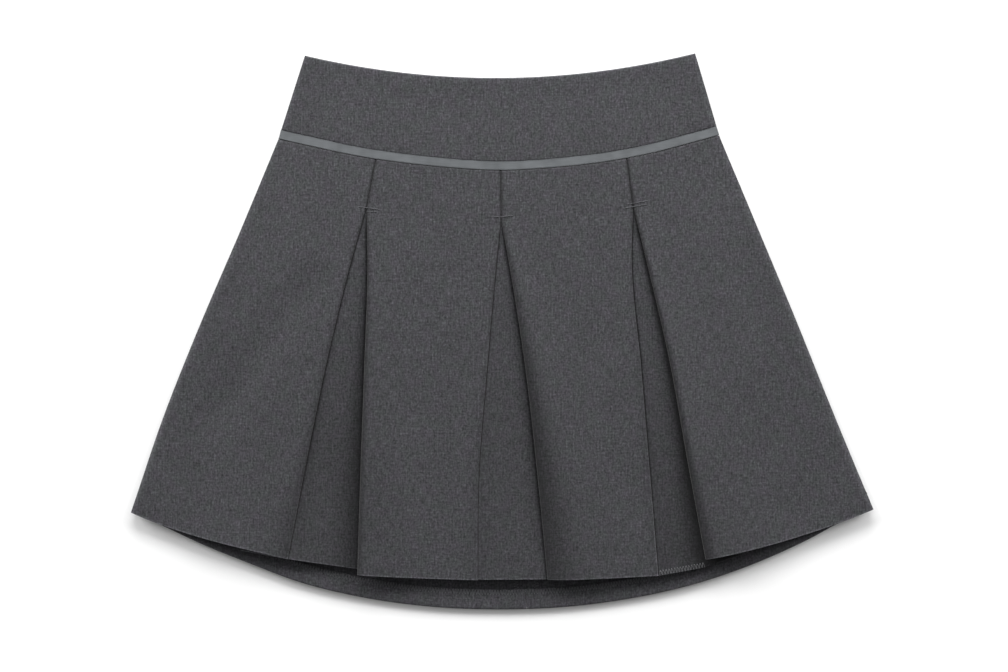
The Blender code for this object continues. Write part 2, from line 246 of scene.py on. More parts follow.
dyed = suiting.node("ShaderNodeMix", {0: dye, 6: PLUM_GREY, 7: MOSS_GREY}, output=2, data_type="RGBA")
suiting.feed(suiting.shader, {"Base Color": suiting.scaled_colour(dyed, melange * painted_shading)})


def ribs(finish, place, axis, pitch):
    """Rounded ribs across one direction of the cloth."""
    parts = finish.node("ShaderNodeSeparateXYZ", {"Vector": place}, output=axis)
    return (parts * (2.0 * math.pi / pitch)).maths("SINE")


weave = ribs(suiting, cloth_place, 0, YARN_PITCH) * ribs(suiting, cloth_place, 1, YARN_PITCH)
cloth_height = weave * 0.5 + warp_dashes * 2.0 + weft_dashes * 1.6
bump = suiting.node("ShaderNodeBump", {"Strength": 0.35, "Distance": 0.00006, "Height": cloth_height})
suiting.feed(suiting.shader, {"Normal": bump})
print("suiting has", len(suiting.tree.nodes), "nodes")

# %% [markdown]
# The ribbon is a narrow grey satin. Its long floats run along it, so its sheen is smoother than the
# suiting's, with faint lines along its length and soft patches where it has been pressed.

# %% Satin
SATIN_COLOUR = (0.0935, 0.0995, 0.1050)

satin = Finish("grey_satin", Roughness=0.62, Specular_IOR_Level=0.18)
satin_place = satin.node("ShaderNodeTexCoord", output=3)
floats = satin.noise(satin_place, (0.012, 0.0005, 0.0005))
pressed = satin.noise(satin_place, (0.012, 0.010, 0.010), detail=1.0)
satin_shade = 1.0 + floats * 0.34 + pressed * 0.55
satin.feed(satin.shader, {"Base Color": satin.scaled_colour(SATIN_COLOUR, satin_shade)})
satin_bump = satin.node("ShaderNodeBump", {"Strength": 0.3, "Distance": 0.00004, "Height": floats})
satin.feed(satin.shader, {"Normal": satin_bump})

# %% [markdown]
# Sewing thread is a twisted cord. At a third of a millimetre its twist shows only as a small change of
# shade, so the finish is plain grey with a little noise. Four threads differ in how light they are.

# %% Threads
def thread_finish(name, colour):
    finish = Finish(name, Roughness=0.6, Specular_IOR_Level=0.3)
    twist = finish.noise(finish.node("ShaderNodeTexCoord", output=3), (0.0004, 0.0004, 0.0004), detail=1.0)
    finish.feed(finish.shader, {"Base Color": finish.scaled_colour(colour, 1.0 + twist * 0.5)})
    return finish.material


bar_thread = thread_finish("bar_thread", (0.052, 0.053, 0.057))
grey_thread = thread_finish("grey_thread", (0.062, 0.063, 0.067))
light_thread = thread_finish("light_thread", (0.105, 0.106, 0.111))
ribbon_thread = thread_finish("ribbon_thread", (0.090, 0.095, 0.100))

# %% [markdown]
# ## The skirt's lines
# Much the same few curves as in the part's source give the skirt its outline: shallow bows for the waist
# and for the yoke's seam, and smooth curves through measured points for the side seams and the hem. All
# of them work on whole arrays of points here, in millimetres.

# %% Curves
MM = 0.001
CLOTH = 0.8
PITCH = 1.45
SEAM_GAP = 0.3
Bow = namedtuple("Bow", "centre_x low_y half_width rise tilt")
WAIST_EDGE = Bow(-2.4, 217.2, 167.1, 20.1, 0.85)
YOKE_SEAM = Bow(-2.4, 138.7, 188.7, 26.9, 1.0)
WAIST_X = (-169.0, 165.2)
SIDE_HEM_Y = (-154.7, -152.1)


def between(start, end, fraction):
    return start + (end - start) * fraction


def ease(t):
    """A smooth step from 0 to 1."""
    t = np.clip(t, 0.0, 1.0)
    return t * t * (3.0 - 2.0 * t)


def bow(edge, x):
    t = (x - edge.centre_x) / edge.half_width
    return edge.low_y + edge.rise * t * t + edge.tilt * t


def smooth_line(places, values):
    """A smooth curve through values at places, as a function of place."""
    places, values = np.array(places), np.array(values)
    slopes = np.gradient(values, places)

    def at(place):
        i = np.clip(np.searchsorted(places, place) - 1, 0, len(places) - 2)
        step = places[i + 1] - places[i]
        t = (place - places[i]) / step
        pulls = t * (1.0 - t) ** 2 * step * slopes[i] + t * t * (t - 1.0) * step * slopes[i + 1]
        return between(values[i], values[i + 1], t * t * (3.0 - 2.0 * t)) + pulls

    return at


QUARTERS = (0.0, 0.25, 0.50, 0.75, 1.0)
side_x = (smooth_line(QUARTERS, (-191.7, -224.6, -258.7, -290.3, -317.2)),
          smooth_line(QUARTERS, (185.7, 218.9, 252.0, 284.1, 317.2)))
back_seam_x = smooth_line((0.0, 0.50, 1.0), (-2.4, 4.5, 21.0))
back_hem_y = smooth_line(
    (-317.2, -293.0, -259.0, -213.6, -173.0, -126.2, -71.3, -1.9, 85.5, 172.9, 215.0, 260.3, 295.0, 317.2),
    (-154.7, -165.0, -180.9, -199.3, -214.5, -226.2, -234.5, -237.9, -232.3, -213.7, -198.9, -178.6, -160.4,
     -152.1))
seam_lift = smooth_line((-192.0, -165.0, -120.0, -80.0, -40.0, 0.0, 40.0, 100.0, 130.0, 160.0, 187.0),
                        (0.2, 1.0, 0.9, 1.0, 0.3, -0.7, -0.2, 0.0, 0.5, 1.5, 1.8))


def front_seam_y(x):
    """The seam below the front yoke, which the pleats pull a little out of its bow."""
    return bow(YOKE_SEAM, x) + seam_lift(x)


print("hem at the middle", round(float(back_hem_y(0.0)), 1), "mm")

# %% [markdown]
# Heights follow from the layers below. The back lies on the floor and curls up a little at its hem. The
# lowest layer of the front lies on the back, and rises from the yoke until it clears the turned-up hem.

# %% Lowest layers
TURN_UP = 16.5
HEM_PITCH = 1.7
TURN_UP_END = TURN_UP + 4.0
TURN_UP_RAMP = 26.0
CURL_LENGTH = 46.0
RISE_LENGTH = 372.0
BACK_MIDDLE = 0.55
curl_at_hem = smooth_line((-317.2, -250.0, -150.0, 0.0, 150.0, 250.0, 317.2),
                          (4.4, 3.8, 2.7, 2.0, 2.4, 3.4, 3.9))
print("hem curls up", curl_at_hem(np.array([-317.2, 0.0, 317.2])).round(1).tolist(), "mm")


def hem_curl(x, y):
    return curl_at_hem(x) * np.maximum(0.0, 1.0 - (y - back_hem_y(x)) / CURL_LENGTH) ** 2


def over_turn_up(x, y):
    """1 above the back's turned-up hem, fading to 0 further up."""
    return ease((TURN_UP_END + TURN_UP_RAMP - (y - back_hem_y(x))) / TURN_UP_RAMP)


def lowest_layer(x, y):
    """The front's lowest layer, which rises all the way from the yoke, most of all at first."""
    from_hem = np.clip((y - back_hem_y(x)) / RISE_LENGTH, 0.0, 1.0)
    return BACK_MIDDLE + PITCH + (curl_at_hem(x) + HEM_PITCH) * (1.0 - from_hem ** 3)


def back_layer(x, y):
    return CLOTH / 2 + hem_curl(x, y)


# %% [markdown]
# At the side seams the front and the back are sewn together, so their edges close on each other. Each
# layer is drawn towards the middle of the stack over the last few millimetres.

# %% Closed side seams
SEAM_REACH = 5.0


def closed(height, x, y, down, place):
    """Height drawn in at the side seams. Place is -1 for the back, 0 for its turn-up, 1 for the front."""
    from_side = np.minimum(x - side_x[0](down), side_x[1](down) - x)
    pull = np.maximum(0.0, 1.0 - np.maximum(from_side, 0.0) / SEAM_REACH) ** 2
    middle = (lowest_layer(x, y) + back_layer(x, y)) / 2
    stack = CLOTH * (1.0 + over_turn_up(x, y))
    return between(height, middle + place * stack / 2, pull)


# %% [markdown]
# ## Shells of cloth
# A sheet of cloth is laid out as rows and columns of points on its middle surface. `shell` gives it two
# faces half a thickness away on either side, and joins them by a rounded edge, as a turned or pressed
# edge has. Solidify would leave that edge square.

# %% Shell
EDGE_STEPS = 4


def unit(vectors):
    return vectors / np.linalg.norm(vectors, axis=-1, keepdims=True)


def edge_loop(rows, columns):
    """Row and column of each edge point, anticlockwise."""
    down, across = np.arange(rows), np.arange(1, columns - 1)
    row = np.concatenate((down, 0 * across + rows - 1, down[::-1], 0 * across))
    column = np.concatenate((0 * down, across, 0 * down + columns - 1, across[::-1]))
    return row, column


def shell(name, middle, wall, material, painted_shading=None):
    """A sheet with two faces and a rounded edge. The middle surface is rows x columns x 3, in mm."""
    rows, columns = middle.shape[:2]
    middle = middle.copy()
    along, downward = unit(np.gradient(middle, axis=1)), unit(np.gradient(middle, axis=0))
    out = unit(np.cross(downward, along))
    r, c = edge_loop(rows, columns)
    down_way = (r == rows - 1).astype(int) - (r == 0)
    along_way = (c == columns - 1).astype(int) - (c == 0)
    outward = downward[r, c] * down_way[:, None] + along[r, c] * along_way[:, None]
    outward = unit(outward - out[r, c] * np.sum(outward * out[r, c], axis=1, keepdims=True))
    middle[r, c] -= outward * wall / 2

    points = [(middle + out * wall / 2).reshape(-1, 3), (middle - out * wall / 2).reshape(-1, 3)]
    places = [middle[..., :2].reshape(-1, 2)] * 2
    painted_shading = np.zeros((rows, columns)) if painted_shading is None else painted_shading
    painted_tones = [painted_shading.ravel()] * 2
    for step in range(1, EDGE_STEPS):
        angle = math.pi * step / EDGE_STEPS
        points.append(middle[r, c] + (out[r, c] * math.cos(angle) + outward * math.sin(angle)) * wall / 2)
        places.append(middle[r, c, :2])
        painted_tones.append(painted_shading[r, c])

    index = np.arange(rows * columns).reshape(rows, columns)
    quads = np.stack((index[:-1, :-1], index[1:, :-1], index[1:, 1:], index[:-1, 1:]), axis=-1)
    quads = quads.reshape(-1, 4)
    faces = [quads, quads[:, ::-1] + rows * columns]
    ring = 2 * rows * columns + np.arange(len(r))
    rings = [index[r, c], *(ring + len(r) * step for step in range(EDGE_STEPS - 1)),
             index[r, c] + rows * columns]
    for upper, lower in zip(rings, rings[1:]):
        faces.append(np.stack((upper, lower, np.roll(lower, -1), np.roll(upper, -1)), axis=-1))

    points, faces = np.concatenate(points) * MM, np.concatenate(faces)
    made = mesh_object(name, points.tolist(), faces.tolist(), material)
    layer = made.data.uv_layers.new(name="cloth")
    corners = np.zeros(len(made.data.loops), np.int32)
    made.data.loops.foreach_get("vertex_index", corners)
    layer.data.foreach_set("uv", (np.concatenate(places)[corners] * MM).astype(np.float32).ravel())
    # How much painted shade darkens, or painted highlight lightens, each point.
    made.data.attributes.new("painted_shading", "FLOAT", "POINT").data.foreach_set("value", np.concatenate(painted_tones))
    print(name, len(made.data.polygons) * 2, "triangles")
    return made


# %% [markdown]
# ## The pleated front
# The front is one width of cloth with three inverted box pleats: two folds meet at a line, and the cloth
# runs back behind each of them to an inner fold and across underneath. It is stitched shut over the
# first eighth of its length and opens below. The table gives the part's pleats, with a few of their hems
# moved by some millimetres.

# %% Pleats
STITCH_END = 0.122
EDGE_PLACES = (STITCH_END, 0.25, 0.50, 0.75, 1.0)
UNDERLAY_PLACES = (0.0, 0.30, 0.65, 1.0)
Pleat = namedtuple("Pleat", "seam_x left_edge_x right_edge_x left_return right_return edge_hem_y "
                            "underlay_hem_y")
PLEATS = (
    Pleat(-108.2, (-116.2, -128.4, -149.1, -166.5, -182.7), (-116.2, -115.2, -117.8, -120.9, -123.6),
          (28.0, 40.0), (28.0, 58.0), (-194.1, -207.6), (-187.0, -195.4, -203.5, -212.5)),
    Pleat(-1.5, (-1.1, -5.7, -13.2, -19.9, -20.8), (-1.1, 7.0, 20.4, 30.1, 38.6),
          (28.0, 32.0), (28.0, 38.0), (-212.4, -212.0), (-211.3, -212.0, -211.8, -210.7)),
    Pleat(106.4, (111.8, 110.8, 118.7, 126.1, 133.4), (111.8, 122.5, 142.1, 157.4, 172.9),
          (28.0, 38.0), (28.0, 40.0), (-208.6, -194.1), (-209.5, -209.0, -202.0, -188.0)),
)


def pleat_line(pleat, down):
    """The x of the line along which a pleat is stitched shut."""
    return between(pleat.seam_x, pleat.left_edge_x[0], down / STITCH_END)


def front_edges(pleat, down):
    """The x of a pleat's two front edges."""
    if down <= STITCH_END:
        middle = pleat_line(pleat, down)
        return middle - SEAM_GAP / 2, middle + SEAM_GAP / 2
    left = smooth_line(EDGE_PLACES, pleat.left_edge_x)(down) - SEAM_GAP / 2
    right = smooth_line(EDGE_PLACES, pleat.right_edge_x)(down) + SEAM_GAP / 2
    return left, max(right, left + SEAM_GAP)


def inner_folds(pleat, down):
    """The x of the two folds behind the front."""
    left, right = front_edges(pleat, down)
    return left - between(*pleat.left_return, down), right + between(*pleat.right_return, down)


def opened(down):
    """How far the pleats have opened: 0 at the end of the stitching and 1 at the hem."""
    return max(0.0, (down - STITCH_END) / (1.0 - STITCH_END))


# %% [markdown]
# Wool isn't pressed as sharply as paper. The right-hand fold of each pleat stands off what lies below
# it, and its cloth rolls over before it turns under. The left-hand folds lie flat. Each fold's shape is
# given at four places from the end of its stitching to the hem: how high its tip stands, how much higher
# its crest is, and how far the crest is from the tip. The billows say how far the cloth at the back of
# the pleat rises beside each of its two folds.

# %% Relief of the folds
FOLD_PLACES = (0.0, 0.33, 0.67, 1.0)
Relief = namedtuple("Relief", "tip crest width")
LEFT_FOLDS = (
    Relief((0.0, 0.2, 0.5, 0.2), (0.5, 0.7, 1.0, 0.8), (2.0, 3.0, 5.0, 8.0)),
    Relief((0.0, 0.0, 0.0, 0.0), (0.5, 0.6, 0.6, 0.4), (2.0, 3.0, 5.0, 7.0)),
    Relief((0.0, 0.2, 0.3, 0.2), (0.5, 0.6, 0.7, 0.6), (2.0, 3.0, 4.0, 5.0)),
)
RIGHT_FOLDS = (
    Relief((0.0, 2.4, 4.6, 4.2), (0.5, 1.4, 2.6, 2.8), (2.0, 3.5, 6.0, 7.0)),
    Relief((0.0, 2.0, 1.6, 0.4), (0.5, 2.4, 5.2, 5.6), (2.0, 6.0, 15.0, 20.0)),
    Relief((0.0, 2.2, 4.4, 4.4), (0.5, 1.4, 2.6, 3.2), (2.0, 3.5, 6.0, 10.0)),
)
Billow = namedtuple("Billow", "left right")
BILLOWS = (
    Billow((2.2, 2.3, 2.3, 3.2), (1.8, 1.0, 0.2, 0.2)),
    Billow((2.5, 2.9, 3.3, 3.4), (1.8, 1.0, 1.2, 3.0)),
    Billow((2.2, 2.2, 2.8, 3.2), (1.8, 0.8, 0.0, 0.0)),
)
RELIEF_REACH = (30.0, 75.0)
FOLD_START = 0.03
BILLOW_RISE = (1.5, 2.5)
BILLOW_SHARE = 0.35


def billow_reach(gap):
    """How far from the left and the right fold the billow takes to rise."""
    return [min(reach, gap * BILLOW_SHARE) for reach in BILLOW_RISE]


def fold_shape(relief, from_tip, down):
    """Height of one fold's cloth over its flat layer, from its tip over its crest and down again."""
    place = opened(down)
    tip, crest, width = (np.interp(place, FOLD_PLACES, values) for values in relief)
    reach = between(*RELIEF_REACH, place)
    fade = min(1.0, down / FOLD_START)
    rising = tip + crest * (1.0 - (1.0 - np.clip(from_tip / width, 0.0, 1.0)) ** 2)
    falling = np.maximum(0.0, 1.0 - np.maximum(from_tip - width, 0.0) / reach) ** 2
    return rising * falling * fade


SoftFold = namedtuple("SoftFold", "start_x start_y end_x end_y half_width height")
SOFT_FOLDS = (
    SoftFold(-146.0, 66.0, -268.0, -104.0, 16.0, -1.9),
    SoftFold(-88.0, -60.0, -76.0, -215.0, 20.0, 0.8),
    SoftFold(84.0, 0.0, 96.0, -215.0, 22.0, 0.6),
    SoftFold(196.0, 20.0, 246.0, -160.0, 20.0, 1.1),
)
FOLD_FADE = 0.25


def soft_folds(x, y):
    """Soft ridges and troughs, added up at each point."""
    total = np.zeros_like(x)
    for fold in SOFT_FOLDS:
        run_x, run_y = fold.end_x - fold.start_x, fold.end_y - fold.start_y
        length = math.hypot(run_x, run_y)
        reach_x, reach_y = x - fold.start_x, y - fold.start_y
        along = (reach_x * run_x + reach_y * run_y) / length ** 2
        across = (reach_x * run_y - reach_y * run_x) / length / fold.half_width
        fade = ease(along / FOLD_FADE) * ease((1.0 - along) / FOLD_FADE)
        total += fold.height * fade * np.exp(-across * across)
    return total


# %% [markdown]
# The heights of the front's three layers, at any point. The underlay lies lowest, the return lies on it,
# and the outer layer lies on the return and slopes down to the side seams.

# %% Layers of the front
FRONT_LENGTH = 351.0
UNDERLAY, RETURN, TOP = 0, 1, 2
STACK_RISE, STACK_MARGIN = 55.0, 3.0
RETURN_SHARE = 0.7
FLARE_LENGTH = 90.0
flare_at = smooth_line((-317.2, -295.0, -255.0, -200.0, -120.0, 0.0, 130.0, 200.0, 250.0, 295.0, 317.2),
                       (0.0, 0.9, 1.8, 1.5, 0.6, 0.4, 0.6, 1.3, 1.8, 0.9, 0.0))


def flared(x, y, down):
    """The lowest layer with its hem flared up towards the sides. All layers share its soft folds."""
    flare = flare_at(x) * max(0.0, 1.0 - (1.0 - down) * FRONT_LENGTH / FLARE_LENGTH) ** 1.5
    return lowest_layer(x, y) + flare + soft_folds(x, y)


def fold_relief(x, down):
    """The shapes of all the folds, added up at each point."""
    total = np.zeros_like(x)
    for pleat, left_relief, right_relief in zip(PLEATS, LEFT_FOLDS, RIGHT_FOLDS):
        left, right = front_edges(pleat, down)
        on_left = x < (left + right) / 2
        total += np.where(on_left, fold_shape(left_relief, np.maximum(left - x, 0.0), down),
                          fold_shape(right_relief, np.maximum(x - right, 0.0), down))
    return total


def top_layer(x, y, down):
    first_fold, last_fold = inner_folds(PLEATS[0], down)[0], inner_folds(PLEATS[-1], down)[1]
    beyond = np.maximum(first_fold - x, x - last_fold) - STACK_MARGIN
    stack = 2 * PITCH * ease(1.0 - beyond / STACK_RISE)
    return flared(x, y, down) + stack + fold_relief(x, down)


def return_layer(x, y, down):
    return flared(x, y, down) + PITCH + fold_relief(x, down) * RETURN_SHARE


def underlay(x, y, down):
    """The cloth at the back of the pleats, which billows up between the folds."""
    total = np.zeros_like(x)
    place = opened(down)
    for pleat, billow in zip(PLEATS, BILLOWS):
        left, right = front_edges(pleat, down)
        gap = right - left
        amounts = [np.interp(place, FOLD_PLACES, values) for values in billow]
        rise, fall = billow_reach(gap)
        inside = ease((x - left) / rise) * ease((right - x) / fall)
        total += between(*amounts, np.clip((x - left) / gap, 0.0, 1.0)) * inside
    return flared(x, y, down) + total


# %% [markdown]
# Deep inside a pleat the cloth lies in shade, which is painted darker than the outside, most of all up
# against the fold that stands over it. Painted shade also darkens the cloth that rolls over a fold and the
# panel beside it, the pleats' stitched seams, the line where the hem is caught and the edge under the
# ribbon. The skirt's rims, hem turns and upper panels get painted highlights, and so do some folds near
# the hem. The lamps alone show too little of this in pleats a few millimetres deep, so it is painted on
# the points, a table row for each pleat, at the same four places as the folds.

# %% Painted shade and highlights
PleatShade = namedtuple("PleatShade", "inside fold fold_reach roll roll_reach beside beside_reach left_fold "
                          "left_roll left_reach left_rub right_rub")
PLEAT_SHADES = (
    PleatShade(inside=(0.06, 0.12, 0.24, 0.18), fold=(0.30, 0.62, 0.72, 0.50), fold_reach=(4.0, 10.0, 19.0, 34.0),
         roll=(0.45, 0.66, 0.74, 0.62), roll_reach=(3.5, 5.5, 7.0, 8.0), beside=(0.0, 0.06, 0.12, 0.10),
         beside_reach=(20.0, 45.0, 50.0, 55.0), left_fold=(0.0, 0.14, 0.32, 0.12),
         left_roll=(0.10, 0.20, 0.34, 0.44), left_reach=(4.0, 6.0, 9.0, 28.0),
         left_rub=(0.0, 0.0, 0.1, 1.3), right_rub=(0.0, 0.0, 0.0, 0.2)),
    PleatShade(inside=(0.06, 0.12, 0.13, 0.13), fold=(0.30, 0.48, 0.46, 0.05), fold_reach=(4.0, 7.0, 12.0, 16.0),
         roll=(0.52, 0.62, 0.74, 0.52), roll_reach=(4.0, 14.0, 28.0, 40.0), beside=(0.0, 0.10, 0.14, 0.18),
         beside_reach=(20.0, 50.0, 60.0, 75.0), left_fold=(0.0, 0.16, 0.20, 0.06),
         left_roll=(0.10, 0.12, 0.18, 0.18), left_reach=(4.0, 7.0, 10.0, 20.0),
         left_rub=(0.0, 0.1, 0.6, 1.6), right_rub=(0.0, 0.1, 0.6, 2.0)),
    PleatShade(inside=(0.06, 0.12, 0.20, 0.32), fold=(0.50, 0.70, 0.82, 0.68), fold_reach=(4.0, 7.0, 10.5, 27.0),
         roll=(0.68, 0.72, 0.80, 0.68), roll_reach=(3.5, 5.0, 6.5, 14.0), beside=(0.0, 0.0, 0.08, 0.26),
         beside_reach=(20.0, 30.0, 40.0, 70.0), left_fold=(0.0, 0.20, 0.26, 0.08),
         left_roll=(0.10, 0.20, 0.26, 0.14), left_reach=(4.0, 6.0, 10.0, 10.0),
         left_rub=(0.0, 0.3, 1.2, 2.6), right_rub=(0.0, 0.0, 0.0, 0.0)),
)
FOLD_MARGIN = 2.0
# Reaches and strengths of painted highlights and painted shade on the front.
FOLD_LIGHT_REACH = 1.5
TIP_PAINTED_SHADE, TIP_REACH = 0.28, 1.6
SEAM_PAINTED_SHADE, SEAM_SHADE_REACH = 0.88, 1.8
EDGE_PAINTED_LIGHT, EDGE_LIGHT_REACH = 0.26, 4.5
HEM_PAINTED_LIGHT, HEM_LIGHT_REACH = 1.7, 1.5
HEM_LINE_PAINTED_SHADE, HEM_LINE_REACH = 0.16, 1.3
TOP_PAINTED_SHADE, TOP_SHADE_REACH = 0.22, 1.8
UPPER_PAINTED_LIGHT, UPPER_LIGHT_TO = 0.055, 0.65


def nearby(distance, reach):
    """1 at an edge or a fold, falling to 0 over a reach."""
    return np.maximum(0.0, 1.0 - np.maximum(distance, 0.0) / reach) ** 1.5


def shaded(distance, amount, reach):
    """The lightness that a shade leaves from distance 0 on. Before that it leaves all."""
    return np.where(distance < 0.0, 1.0, 1.0 - amount * nearby(distance, reach))


def pleat_painted_shade(x, layer, down):
    """How much of its lightness each point keeps under painted shade and painted highlights, by its place
    in the pleats.
    """
    outside = np.ones_like(x)
    within = np.ones_like(x)
    for pleat, row in zip(PLEATS, PLEAT_SHADES):
        painted_tones = PleatShade(*(np.interp(opened(down), FOLD_PLACES, values) for values in row))
        left, right = front_edges(pleat, down)
        left_fold, right_fold = inner_folds(pleat, down)
        outside *= shaded(x - right, painted_tones.roll, painted_tones.roll_reach)
        outside *= shaded(x - right, painted_tones.beside, painted_tones.beside_reach)
        outside *= shaded(left - x, painted_tones.left_roll, painted_tones.left_reach)
        # Painted shade along each pleat's stitched seam.
        if down < STITCH_END:
            outside *= 1.0 - SEAM_PAINTED_SHADE * nearby(np.abs(x - pleat_line(pleat, down)), SEAM_SHADE_REACH)
        here = (x >= left_fold - FOLD_MARGIN) & (x <= right_fold + FOLD_MARGIN)
        depth = (1.0 - painted_tones.inside) * (1.0 - painted_tones.fold * nearby(right - x, painted_tones.fold_reach))
        depth = depth * (1.0 - painted_tones.left_fold * nearby(x - left, painted_tones.left_reach))
        within = np.where(here, depth, within)
        if down > STITCH_END:
            # Painted highlights along the folds near the hem, which hide their dark lines of shade.
            painted_lightness = 1.0 + painted_tones.left_rub * nearby(np.abs(x - left), FOLD_LIGHT_REACH)
            outside, within = outside * painted_lightness, within * painted_lightness
            within *= 1.0 + painted_tones.right_rub * nearby(np.abs(x - right), FOLD_LIGHT_REACH)
            # Painted shade on the roll beside each right-hand fold's tip.
            outside *= shaded(x - right, TIP_PAINTED_SHADE, TIP_REACH)
    return between(within, outside, np.clip(layer - 1.0, 0.0, 1.0))


# %% [markdown]
# A section across the front is a list of points with an x, a layer and the y of the hem below each. It
# runs through each pleat as a tailor would draw it: turn, return, turn, underlay, turn, return, turn.

# %% Section
RETURN_COLUMNS, HIDDEN_COLUMNS, OPEN_COLUMNS, TURN_STEPS = 7, 4, 14, 7
BILLOW_STEPS = np.linspace(0.0, 1.0, 6)
TURN_RADIUS = PITCH / 2
PANEL_CROWD = 0.8
Panel = namedtuple("Panel", "sag skew columns")
PANELS = (Panel(3.4, 0.5, 48), Panel(0.6, 0.0, 40), Panel(0.6, 0.0, 40), Panel(4.3, 0.0, 48))


def run(start_x, end_x, layer, hems, columns, crowd=0.0):
    """Points of one layer, crowded towards both ends."""
    t = np.linspace(0.0, 1.0, columns + 1)
    t = between(t, 0.5 - 0.5 * np.cos(math.pi * t), crowd)
    return np.column_stack((between(start_x, end_x, t), np.full_like(t, layer), hems(t)))


def turn(tip_x, side, start_layer, end_layer, hem_y):
    """Half a turn from one layer to the next."""
    angle = math.pi * np.arange(1, TURN_STEPS) / TURN_STEPS
    layer = between(start_layer, end_layer, (1.0 - np.cos(angle)) / 2)
    x = tip_x - side * TURN_RADIUS * (1.0 - np.sin(angle))
    return np.column_stack((x, layer, np.full_like(angle, hem_y)))


def hem_line(start, end, sag=0.0, skew=0.0):
    """The y of a hem at fractions of the way from its start to its end."""
    return lambda t: between(start, end, t) - 4.0 * sag * t * (1.0 - t) * (1.0 + skew * (1.0 - 2.0 * t))


def pleat_section(pleat, down):
    left, right = front_edges(pleat, down)
    left_tip, right_tip = left - CLOTH / 2, right + CLOTH / 2
    left_fold, right_fold = inner_folds(pleat, down)
    left_hem, right_hem = pleat.edge_hem_y
    inner_hems = pleat.underlay_hem_y
    back_start, back_end = left_fold + TURN_RADIUS, right_fold - TURN_RADIUS

    rise, fall = billow_reach(right - left)
    rising, falling = left + rise * BILLOW_STEPS, right - fall * BILLOW_STEPS[::-1]
    x = np.concatenate((np.linspace(back_start, left_tip, HIDDEN_COLUMNS + 1), rising,
                        np.linspace(rising[-1], falling[0], OPEN_COLUMNS)[1:-1], falling,
                        np.linspace(right_tip, back_end, HIDDEN_COLUMNS + 1)))
    hems = np.interp((x - back_start) / (back_end - back_start), UNDERLAY_PLACES, inner_hems)

    return [
        turn(left_tip, 1, TOP, RETURN, left_hem),
        run(left_tip - TURN_RADIUS, back_start, RETURN, hem_line(left_hem, inner_hems[0]), RETURN_COLUMNS),
        turn(left_fold, -1, RETURN, UNDERLAY, inner_hems[0]),
        np.column_stack((x, np.full_like(x, UNDERLAY), hems)),
        turn(right_fold, 1, UNDERLAY, RETURN, inner_hems[-1]),
        run(back_end, right_tip + TURN_RADIUS, RETURN, hem_line(inner_hems[-1], right_hem), RETURN_COLUMNS),
        turn(right_tip, -1, RETURN, TOP, right_hem),
    ]


def panel_section(panel, start_x, end_x, start_hem, end_hem):
    """Points of the outer layer from one pleat or side seam to the next."""
    hems = hem_line(start_hem, end_hem, panel.sag, panel.skew)
    return run(start_x, end_x, TOP, hems, panel.columns, PANEL_CROWD)


def front_section(down):
    inset = CLOTH / 2 + TURN_RADIUS
    parts = []
    start_x, start_hem = side_x[0](down), SIDE_HEM_Y[0]
    for panel, pleat in zip(PANELS, PLEATS):
        left, right = front_edges(pleat, down)
        parts.append(panel_section(panel, start_x, left - inset, start_hem, pleat.edge_hem_y[0]))
        parts += pleat_section(pleat, down)
        start_x, start_hem = right + inset, pleat.edge_hem_y[1]
    parts.append(panel_section(PANELS[-1], start_x, side_x[1](down), start_hem, SIDE_HEM_Y[1]))
    return np.concatenate(parts)


print("the front's section has", len(front_section(1.0)), "points")

# %% [markdown]
# The rows of the front lie closer together at the seam, at the end of the pleats' stitching and at the
# line where the hem is caught, so that these details have points to bend. The top edge rolls under into
# the seam, and the turned-up hem swells the cloth by a hair.

# %% Front skirt
SEAM_ROLL_DEPTH, SEAM_ROLL_WIDTH = 0.5, 1.4
HEM_LINE = TURN_UP
HEM_SWELL, HEM_STEP = 0.16, 2.0


def row_places(length, spacing, fine):
    """Fractions of a length: even, with finer rows round each place in `fine`."""
    places = set(np.linspace(0.0, length, int(length / spacing)).round(3))
    for centre, offsets in fine:
        places = {place for place in places if abs(place - centre) > max(offsets) + 0.5}
        places |= {centre + offset for offset in offsets} | {centre - offset for offset in offsets}
    places = sorted(place for place in places if 0.0 <= place <= length)
    return np.array(sorted(set(places) | {0.0, length})) / length


